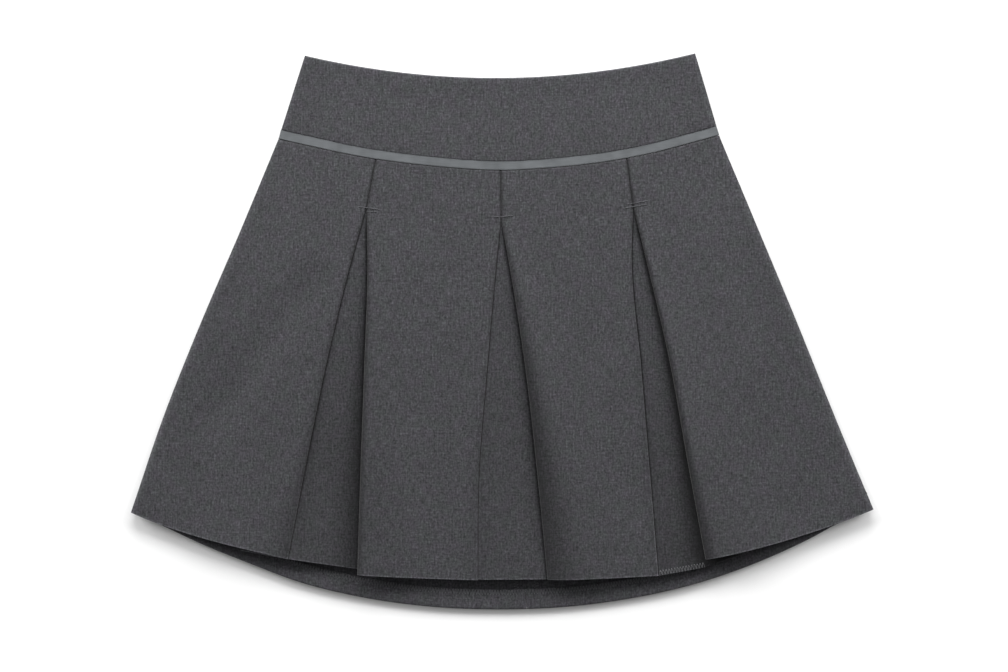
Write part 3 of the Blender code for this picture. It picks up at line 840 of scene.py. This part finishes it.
front_rows = row_places(FRONT_LENGTH, 4.0, (
    (0.0, (0.0, 0.25, 0.6, 1.0, 1.5, 2.2)), (STITCH_END * FRONT_LENGTH, (0.0, 0.7, 1.6)),
    (FRONT_LENGTH - HEM_LINE, (0.0, 0.6, 1.4)), (FRONT_LENGTH, (0.0, 0.7, 1.5, 2.4))))
top_y = front_seam_y(front_section(0.0)[:, 0]) - SEAM_GAP
front_middle, front_painted_shading = [], []
for down in front_rows:
    x, layer, hem_y = front_section(down).T
    y = between(top_y, hem_y, down)
    layers = np.stack((underlay(x, y, down), return_layer(x, y, down), top_layer(x, y, down)))
    low = np.minimum(layer.astype(int), 1)
    column = np.arange(len(x))
    height = between(layers[low, column], layers[low + 1, column], layer - low)
    outer = np.clip(layer - 1.0, 0.0, 1.0)
    from_top = top_y - y
    height = height - outer * SEAM_ROLL_DEPTH * np.maximum(0.0, 1.0 - from_top / SEAM_ROLL_WIDTH) ** 2
    height = height + outer * HEM_SWELL * ease((HEM_LINE + HEM_STEP / 2 - (y - hem_y)) / HEM_STEP)
    height = closed(height, x, y, down, 1)
    front_middle.append(np.column_stack((x, y, height)))
    from_side = np.minimum(x - side_x[0](down), side_x[1](down) - x)
    # Painted highlights on the side rims, the hem's edge and the upper panels. Painted shade lies along the
    # hem's stitched line and the top edge under the ribbon.
    painted_lightness = (EDGE_PAINTED_LIGHT * nearby(from_side, EDGE_LIGHT_REACH) + HEM_PAINTED_LIGHT * nearby(y - hem_y, HEM_LIGHT_REACH)
              - HEM_LINE_PAINTED_SHADE * nearby(np.abs(y - hem_y - HEM_LINE), HEM_LINE_REACH)
              - TOP_PAINTED_SHADE * nearby(from_top, TOP_SHADE_REACH) + UPPER_PAINTED_LIGHT * max(0.0, 1.0 - down / UPPER_LIGHT_TO))
    front_painted_shading.append(pleat_painted_shade(x, layer, down) * (1.0 + painted_lightness) - 1.0)
front_skirt = shell("cloth_front_skirt", np.stack(front_middle), CLOTH, suiting.material,
                    np.stack(front_painted_shading))

# %% [markdown]
# ## The yoke and the ribbon
# The front yoke is cut double, which makes it firmer than the skirt: it lies almost flat. Along its
# lower edge it steps down, and the ribbon lies in that step, so the yoke's edge overlaps the ribbon's.

# %% Front yoke
YOKE_CLOTH = 1.0
YOKE_COLUMNS = 150
YOKE_LENGTH = 80.0
YOKE_SIDE_LIFT = 0.45
YOKE_PAINTED_LIGHT = 0.025
YOKE_RIM_PAINTED_LIGHT, YOKE_RIM_LIGHT_REACH = 0.38, 6.5
RIBBON_WIDTH = 8.0
RIBBON_SINK, RIBBON_STEP = 0.75, 0.7
yoke_rows = row_places(YOKE_LENGTH, 3.0, (
    (YOKE_LENGTH, (0.0, 0.4, 1.0, 2.0)), (YOKE_LENGTH - RIBBON_WIDTH, (0.0, 0.25, 0.5, 0.8, 1.6)),
    (0.0, (0.0, 0.5, 1.2))))


def yoke_lines(across):
    """The waist and the seam below a fraction of the way across the yoke."""
    waist_x, seam_x = between(*WAIST_X, across), between(side_x[0](0.0), side_x[1](0.0), across)
    return waist_x, bow(WAIST_EDGE, waist_x), seam_x, front_seam_y(seam_x)


def yoke_point(across, down):
    """Points of the front yoke's middle surface."""
    waist_x, waist_y, seam_x, seam_y = yoke_lines(across)
    x, y = between(waist_x, seam_x, down), between(waist_y, seam_y, down)
    height = between(lowest_layer(x, y), top_layer(seam_x, seam_y, 0.0), ease(down))
    from_side = np.minimum(across, 1.0 - across) * (seam_x.max() - seam_x.min())
    pull = np.maximum(0.0, 1.0 - from_side / SEAM_REACH) ** 2
    target = (YOKE_CLOTH / 2 + height) / 2 + YOKE_SIDE_LIFT
    return np.stack((x, y, between(height, target, pull)), axis=-1)


across = np.linspace(0.0, 1.0, YOKE_COLUMNS + 1)
across = between(across, 0.5 - 0.5 * np.cos(math.pi * across), 0.35)
yoke_middle = np.stack([yoke_point(across, down) for down in yoke_rows])
below_ribbon_top = yoke_lines(across)[3] + RIBBON_WIDTH - yoke_middle[..., 1]
yoke_middle[..., 2] -= RIBBON_SINK * ease(below_ribbon_top / RIBBON_STEP)
from_side = np.minimum(across, 1.0 - across) * (side_x[1](0.0) - side_x[0](0.0))
from_waist = yoke_lines(across)[1] - yoke_middle[..., 1]
# Painted highlight along the yoke's side and waist rims, and a little over the whole yoke.
yoke_rim = np.maximum(nearby(from_side, YOKE_RIM_LIGHT_REACH), nearby(from_waist, YOKE_RIM_LIGHT_REACH))
front_yoke = shell("cloth_front_yoke", yoke_middle, YOKE_CLOTH, suiting.material,
                   YOKE_RIM_PAINTED_LIGHT * yoke_rim + YOKE_PAINTED_LIGHT)

# %% [markdown]
# The ribbon follows the yoke's seam, with its ends caught in the side seams. Geometry Nodes sweep a thin
# rounded profile along that path, and lift it here and there into slight waves.

# %% Geometry Nodes helper
class Grower(Tree):
    """A Geometry Nodes tree in the making. Each of its inputs has a name and a size in mm."""

    def __init__(self, name, **sizes):
        super().__init__(bpy.data.node_groups.new(name, "GeometryNodeTree"))
        for in_out in ("INPUT", "OUTPUT"):
            self.tree.interface.new_socket("Geometry", in_out=in_out, socket_type="NodeSocketGeometry")
        self.values = {}
        for key, size in sizes.items():
            item = self.tree.interface.new_socket(key, in_out="INPUT", socket_type="NodeSocketFloat")
            self.values[item.identifier] = size * MM
        self.given = [Wire(self, socket) for socket in self.tree.nodes.new("NodeGroupInput").outputs]

    def finish(self, geometry, material):
        """Ends the tree in Realize Instances and Set Material."""
        real = self.node("GeometryNodeRealizeInstances", {"Geometry": geometry})
        smooth = self.node("GeometryNodeSetShadeSmooth", {"Geometry": real})
        made = self.node("GeometryNodeSetMaterial", {"Geometry": smooth, "Material": material})
        self.feed(self.tree.nodes.new("NodeGroupOutput"), {0: made})

    def grow(self, name, paths):
        """Runs the tree on a mesh of open paths, and returns the plain mesh that it makes."""
        points, edges = [], []
        for path in paths:
            start = len(points)
            points += [tuple(point) for point in np.asarray(path) * MM]
            edges += [(i, i + 1) for i in range(start, len(points) - 1)]
        seed = bpy.data.meshes.new(name + "_path")
        seed.from_pydata(points, edges, [])
        carrier = place(name + "_path", seed)
        modifier = carrier.modifiers.new("grow", "NODES")
        modifier.node_group = self.tree
        for identifier, value in self.values.items():
            modifier[identifier] = value
        bpy.context.view_layer.update()
        evaluated = carrier.evaluated_get(bpy.context.evaluated_depsgraph_get())
        mesh = bpy.data.meshes.new_from_object(evaluated)
        carrier.modifiers.remove(modifier)
        bpy.data.objects.remove(carrier)
        mesh.name = name
        print(name, sum(len(face.vertices) - 2 for face in mesh.polygons), "triangles")
        return place(name, mesh)


# %% Ribbon
RIBBON = 0.30
RIBBON_ROUND = 0.12
RIBBON_CLEAR = 0.02
ribbon_tree = Grower("ribbon", Width=RIBBON_WIDTH, Thickness=RIBBON, Wave=0.22, Wave_Length=9.0)
paths, width, thickness, wave, wave_length = ribbon_tree.given[:5]
path = ribbon_tree.node("GeometryNodeMeshToCurve", {"Mesh": paths})
path = ribbon_tree.node("GeometryNodeSetCurveNormal", {"Curve": path}, mode="Z_UP")
profile = ribbon_tree.node("GeometryNodeCurvePrimitiveQuadrilateral", {"Width": width, "Height": thickness})
profile = ribbon_tree.node("GeometryNodeSubdivideCurve", {"Curve": profile, "Cuts": 5})
profile = ribbon_tree.node("GeometryNodeFilletCurve", {
    "Curve": profile, "Count": 2, "Radius": RIBBON_ROUND * MM}, mode="POLY")
band = ribbon_tree.node("GeometryNodeCurveToMesh", {
    "Curve": path, "Profile Curve": profile, "Fill Caps": True})
waves = ribbon_tree.node("ShaderNodeTexNoise", {
    "Vector": ribbon_tree.node("GeometryNodeInputPosition"), "Scale": wave_length.maths("POWER", -1.0),
    "Detail": 1.0})
push = ribbon_tree.node("ShaderNodeCombineXYZ", {"Z": waves * wave})
band = ribbon_tree.node("GeometryNodeSetPosition", {"Geometry": band, "Offset": push})
ribbon_tree.finish(band, satin.material)

ribbon_across = np.linspace(0.0, 1.0, 320)


def above_seam(distance):
    """A path on the front yoke's middle surface, at a distance above its seam."""
    waist_y, seam_y = yoke_lines(ribbon_across)[1::2]
    downs = 1.0 - distance / (waist_y - seam_y)
    return np.stack([yoke_point(np.array([0.0, a, 1.0]), d)[1] for a, d in zip(ribbon_across, downs)])


ribbon_path = above_seam(RIBBON_WIDTH / 2)
ribbon_path[:, 2] += YOKE_CLOTH / 2 + RIBBON / 2 - RIBBON_SINK + RIBBON_CLEAR
ribbon = ribbon_tree.grow("satin_ribbon", [ribbon_path])

# %% [markdown]
# ## The back
# The back lies on the floor, outer face down, in two halves with a seam down its middle. Its hem is
# turned up on the inside, which is the side that shows below the front. The sheet simply runs on round
# the fold and back up, and the fold gets a painted highlight.

# %% Back
HEM_TURN_RADIUS = HEM_PITCH / 2
BACK_COLUMNS = 90
BACK_TURN_STEPS = 8
BACK_INSET = 0.5
BACK_HEM_PAINTED_LIGHT = 0.9
YOKE_HALF = 185.0
YOKE_CLOSE = 0.2


def back_xs(side, outer_x, seam_x, across):
    inward = (1, -1)[side]
    return between(outer_x + BACK_INSET * inward, seam_x - SEAM_GAP / 2 * inward, across)


def back_yoke(side):
    across = np.linspace(0.0, 1.0, 41)
    rows = []
    for down in np.linspace(0.0, 1.0, 25):
        waist_x = back_xs(side, WAIST_X[side], WAIST_EDGE.centre_x, across)
        seam_x = back_xs(side, side_x[side](0.0), YOKE_SEAM.centre_x, across)
        waist_y, seam_y = bow(WAIST_EDGE, waist_x) - BACK_INSET, bow(YOKE_SEAM, seam_x)
        pull = np.maximum(0.0, 1.0 - across * YOKE_HALF / SEAM_REACH) ** 2
        x, y = between(waist_x, seam_x, down), between(waist_y, seam_y, down)
        rows.append(np.column_stack((x, y, YOKE_CLOTH / 2 + YOKE_CLOSE * pull)))
    rows = np.stack(rows)
    return rows if side == 0 else rows[:, ::-1]


def hem_places():
    """Places up from the hem and round its turn: mm up, and 0 outside to 1 inside."""
    angle = math.pi * np.arange(1, BACK_TURN_STEPS + 1) / BACK_TURN_STEPS
    turned = list(zip(HEM_TURN_RADIUS * (1.0 - np.sin(angle)), (1.0 - np.cos(angle)) / 2))
    curled = [(up, 0.0) for up in np.linspace(CURL_LENGTH, HEM_TURN_RADIUS, 16)]
    return curled + turned + [(up, 1.0) for up in np.linspace(HEM_TURN_RADIUS, TURN_UP, 8)[1:]]


def back_skirt(side):
    across = np.linspace(0.0, 1.0, BACK_COLUMNS + 1)
    rows, painted_tones = [], []
    seam_y = bow(YOKE_SEAM, back_xs(side, side_x[side](0.0), back_seam_x(0.0), across)) - SEAM_GAP
    hem_y = back_hem_y(back_xs(side, side_x[side](1.0), back_seam_x(1.0), across)) + CLOTH / 2
    length = seam_y - hem_y
    flat = [(down, 0.0) for down in np.linspace(0.0, 1.0, 50)[:-1]]
    for place, (up, inside) in enumerate(flat + hem_places()):
        down = up * (1.0 - CURL_LENGTH / length) if place < len(flat) else 1.0 - up / length
        x, y = back_xs(side, side_x[side](down), back_seam_x(down), across), between(seam_y, hem_y, down)
        height = back_layer(x, y) + HEM_PITCH * inside
        rows.append(np.column_stack((x, y, closed(height, x, y, down, inside - 1.0))))
        # A painted highlight round the turn of the hem.
        painted_tones.append(np.full_like(x, BACK_HEM_PAINTED_LIGHT * (1.0 - abs(2.0 * inside - 1.0))))
    rows, painted_tones = np.stack(rows), np.stack(painted_tones)
    return (rows, painted_tones) if side == 0 else (rows[:, ::-1], painted_tones[:, ::-1])


SIDES = ("left", "right")
back_yokes = [shell("cloth_back_yoke_" + SIDES[side], back_yoke(side), YOKE_CLOTH, suiting.material)
              for side in (0, 1)]
back_skirts = []
for side, side_name in enumerate(SIDES):
    back_middle, back_painted_shading = back_skirt(side)
    back_skirts.append(shell("cloth_back_skirt_" + side_name, back_middle, CLOTH, suiting.material,
                             back_painted_shading))

# %% [markdown]
# The seam down the back has its two allowances pressed open on the inside. Each is a plain strip that
# lies on its half of the back and ends under the turned-up hem.

# %% Seam allowances
ALLOWANCE = 0.5
ALLOWANCE_WIDTH = 10.5
ALLOWANCE_INSET, ALLOWANCE_TUCK, ALLOWANCE_CLEAR = 0.15, 1.5, 0.03


def seam_allowance(side):
    away = (-1, 1)[side]
    across = np.linspace(0.0, 1.0, 9)
    rows = []
    for down in np.linspace(0.004, 1.0, 110):
        inner_x = back_seam_x(down) + away * (SEAM_GAP / 2 + ALLOWANCE_INSET)
        x = inner_x + away * across * (ALLOWANCE_WIDTH - ALLOWANCE_INSET)
        y = between(bow(YOKE_SEAM, x) - SEAM_GAP, back_hem_y(x) + TURN_UP - ALLOWANCE_TUCK, down)
        height = back_layer(x, y) + (CLOTH + ALLOWANCE) / 2 + ALLOWANCE_CLEAR
        rows.append(np.column_stack((x, y, height)))
    rows = np.stack(rows)
    return rows if side == 1 else rows[:, ::-1]


allowances = [shell("cloth_seam_allowance_" + SIDES[side], seam_allowance(side), ALLOWANCE,
                    suiting.material) for side in (0, 1)]

# %% [markdown]
# ## Sewing
# Each stitch is a short thread, bent through a point above its middle or to one side of it. Geometry
# Nodes set one on every point of a path, turned to the path's direction and to the cloth's upper side.

# %% Stitches
Stitch = namedtuple("Stitch", "Pitch Reach Sideways Low High Radius")
BAR_STITCH = Stitch(2.3, 1.1, 0.0, -0.27, 0.48, 0.30)
RIBBON_STITCH = Stitch(2.6, 1.0, 0.0, -0.117, 0.208, 0.13)
OVERLOCK_STITCH = Stitch(2.4, 1.008, 8.0, 0.22, 0.22, 0.22)


def stitch_tree(name, stitch, material, steps=4, sides=6):
    tree = Grower(name, **stitch._asdict())
    paths, pitch, reach, sideways, low, high, radius = tree.given[:7]
    start = tree.node("ShaderNodeCombineXYZ", {"X": reach * -1.0, "Z": low})
    middle = tree.node("ShaderNodeCombineXYZ", {"Y": sideways, "Z": high})
    end = tree.node("ShaderNodeCombineXYZ", {"X": reach, "Z": low})
    thread = tree.node("GeometryNodeCurveQuadraticBezier", {
        "Resolution": steps, "Start": start, "Middle": middle, "End": end})
    ring = tree.node("GeometryNodeCurvePrimitiveCircle", {"Resolution": sides, "Radius": radius})
    thread = tree.node("GeometryNodeCurveToMesh", {
        "Curve": thread, "Profile Curve": ring, "Fill Caps": True})
    path = tree.node("GeometryNodeMeshToCurve", {"Mesh": paths})
    path = tree.node("GeometryNodeResampleCurve", {"Curve": path, "Length": pitch}, mode="LENGTH")
    along = tree.node("GeometryNodeInputTangent")
    facing = tree.node("FunctionNodeAxesToRotation", {
        "Primary Axis": (0.0, 0.0, 1.0), "Secondary Axis": along}, primary_axis="Z", secondary_axis="X")
    row = tree.node("GeometryNodeInstanceOnPoints", {
        "Points": path, "Instance": thread, "Rotation": facing})
    tree.finish(row, material)
    return tree


# %% [markdown]
# Three short bars of stitches hold the pleats shut where they open. They are sewn in a grey thread and
# draw the two panels together. The outer two have a second row.

# %% Pleat bars
BAR_LIFT = 0.10
Bar = namedtuple("Bar", "start_x start_y end_x end_y")
BARS = (
    Bar(-121.8, 106.4, -105.7, 104.2), Bar(-114.6, 102.5, -108.4, 102.1),
    Bar(-11.2, 98.4, -1.4, 97.8), Bar(-1.4, 97.8, 8.2, 98.9),
    Bar(104.2, 105.2, 122.4, 108.4), Bar(107.8, 108.8, 123.2, 111.4),
)


def front_height(x, y):
    """Height of the front's upper face above the pleats' openings."""
    down = (front_seam_y(x) - y) / FRONT_LENGTH
    heights = [top_layer(np.array([a]), np.array([b]), d)[0] for a, b, d in zip(x, y, down)]
    return np.array(heights) + CLOTH / 2


def bar_path(bar):
    t = np.linspace(0.0, 1.0, 12)
    x, y = between(bar.start_x, bar.end_x, t), between(bar.start_y, bar.end_y, t)
    return np.column_stack((x, y, front_height(x, y) + BAR_LIFT))


pleat_bars = stitch_tree("bar_stitches", BAR_STITCH, bar_thread).grow(
    "pleat_bar_stitches", [bar_path(bar) for bar in BARS])

# %% [markdown]
# The ribbon is sewn on along both edges, in a thread of its own grey.

# %% Ribbon stitches
EDGE_STITCH = 0.75
EDGE_LIFT = 0.12


def ribbon_edge(from_seam):
    """A line on the ribbon, near one of its edges."""
    path = above_seam(from_seam)
    path[:, 2] = ribbon_path[:, 2] + RIBBON / 2 + EDGE_LIFT
    return path[3:-3]


ribbon_stitches = stitch_tree("ribbon_stitches", RIBBON_STITCH, ribbon_thread).grow(
    "ribbon_edge_stitches", [ribbon_edge(EDGE_STITCH), ribbon_edge(RIBBON_WIDTH - EDGE_STITCH)])

# %% [markdown]
# The raw edges inside are overlocked: a looper thread runs to and fro over the edge. One repeat is a
# narrow V of thread, and the path runs along the raw edge of the hem and of both seam allowances. The
# underlay of the right-hand pleat shows the same along its hem, in a lighter thread.

# %% Overlock
OVERLOCK_STEPS, OVERLOCK_SIDES = 6, 5
HEM_EDGE_INSET = 0.4
UNDERLAY_EDGE_X = (135.5, 172.0)


def hem_raw_edge(side):
    """The raw edge of one half's turned-up hem. It runs so that the hem lies to its left."""
    across = np.linspace(0.02, 0.995, 160)
    x = back_xs(side, side_x[side](1.0), back_seam_x(1.0), across)
    y = back_hem_y(x) + CLOTH / 2 + TURN_UP
    z = back_layer(x, y) + HEM_PITCH + CLOTH / 2
    path = np.column_stack((x, y - HEM_EDGE_INSET, z))
    return path[::-1] if side == 0 else path


def allowance_raw_edge(side):
    """The raw edge of one seam allowance. It runs so that the seam lies to its left."""
    middle = seam_allowance(side)
    path = middle[2:-1, 0 if side == 0 else -1] + (0.0, 0.0, ALLOWANCE / 2)
    return path if side == 0 else path[::-1]


def underlay_raw_edge():
    """The raw edge that shows along the right-hand pleat's underlay. The cloth lies to its left."""
    pleat = PLEATS[2]
    left_fold, right_fold = inner_folds(pleat, 1.0)
    start, end = left_fold + TURN_RADIUS, right_fold - TURN_RADIUS
    x = np.linspace(*UNDERLAY_EDGE_X, 60)
    y = np.interp((x - start) / (end - start), UNDERLAY_PLACES, pleat.underlay_hem_y) + CLOTH / 2
    return np.column_stack((x, y, underlay(x, y, 1.0) + CLOTH / 2))


def grow_overlock(name, thread, paths):
    tree = stitch_tree("overlock", OVERLOCK_STITCH, thread, OVERLOCK_STEPS, OVERLOCK_SIDES)
    return tree.grow(name, paths)


overlock = grow_overlock("overlocked_edges", grey_thread, [
    hem_raw_edge(0), hem_raw_edge(1), allowance_raw_edge(0), allowance_raw_edge(1)])
underlay_overlock = grow_overlock("underlay_overlock", light_thread, [underlay_raw_edge()])

# %% [markdown]
# ## Fasten every piece to the frame
# The skirt has no joint, so each piece rides on the one body. Each shell hides the solid of the part
# that it stands for.

# %% Ride and replace
def fit(piece, slot, *nodes):
    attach(piece, "root")
    if nodes:
        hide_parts(*nodes)


for piece in (*allowances, pleat_bars, overlock, underlay_overlock):
    fit(piece, "suiting")
fit(ribbon_stitches, "ribbon")
fit(front_skirt, "suiting", "front_skirt")
fit(front_yoke, "suiting", "front_yoke")
fit(ribbon, "ribbon", "ribbon")
for side, side_name in enumerate(SIDES):
    fit(back_yokes[side], "suiting", "back_yoke_" + side_name)
    fit(back_skirts[side], "suiting", "back_skirt_" + side_name)

# %% Sizes
low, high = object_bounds()
print("visual box", [round(value, 4) for value in (*low, *high)])
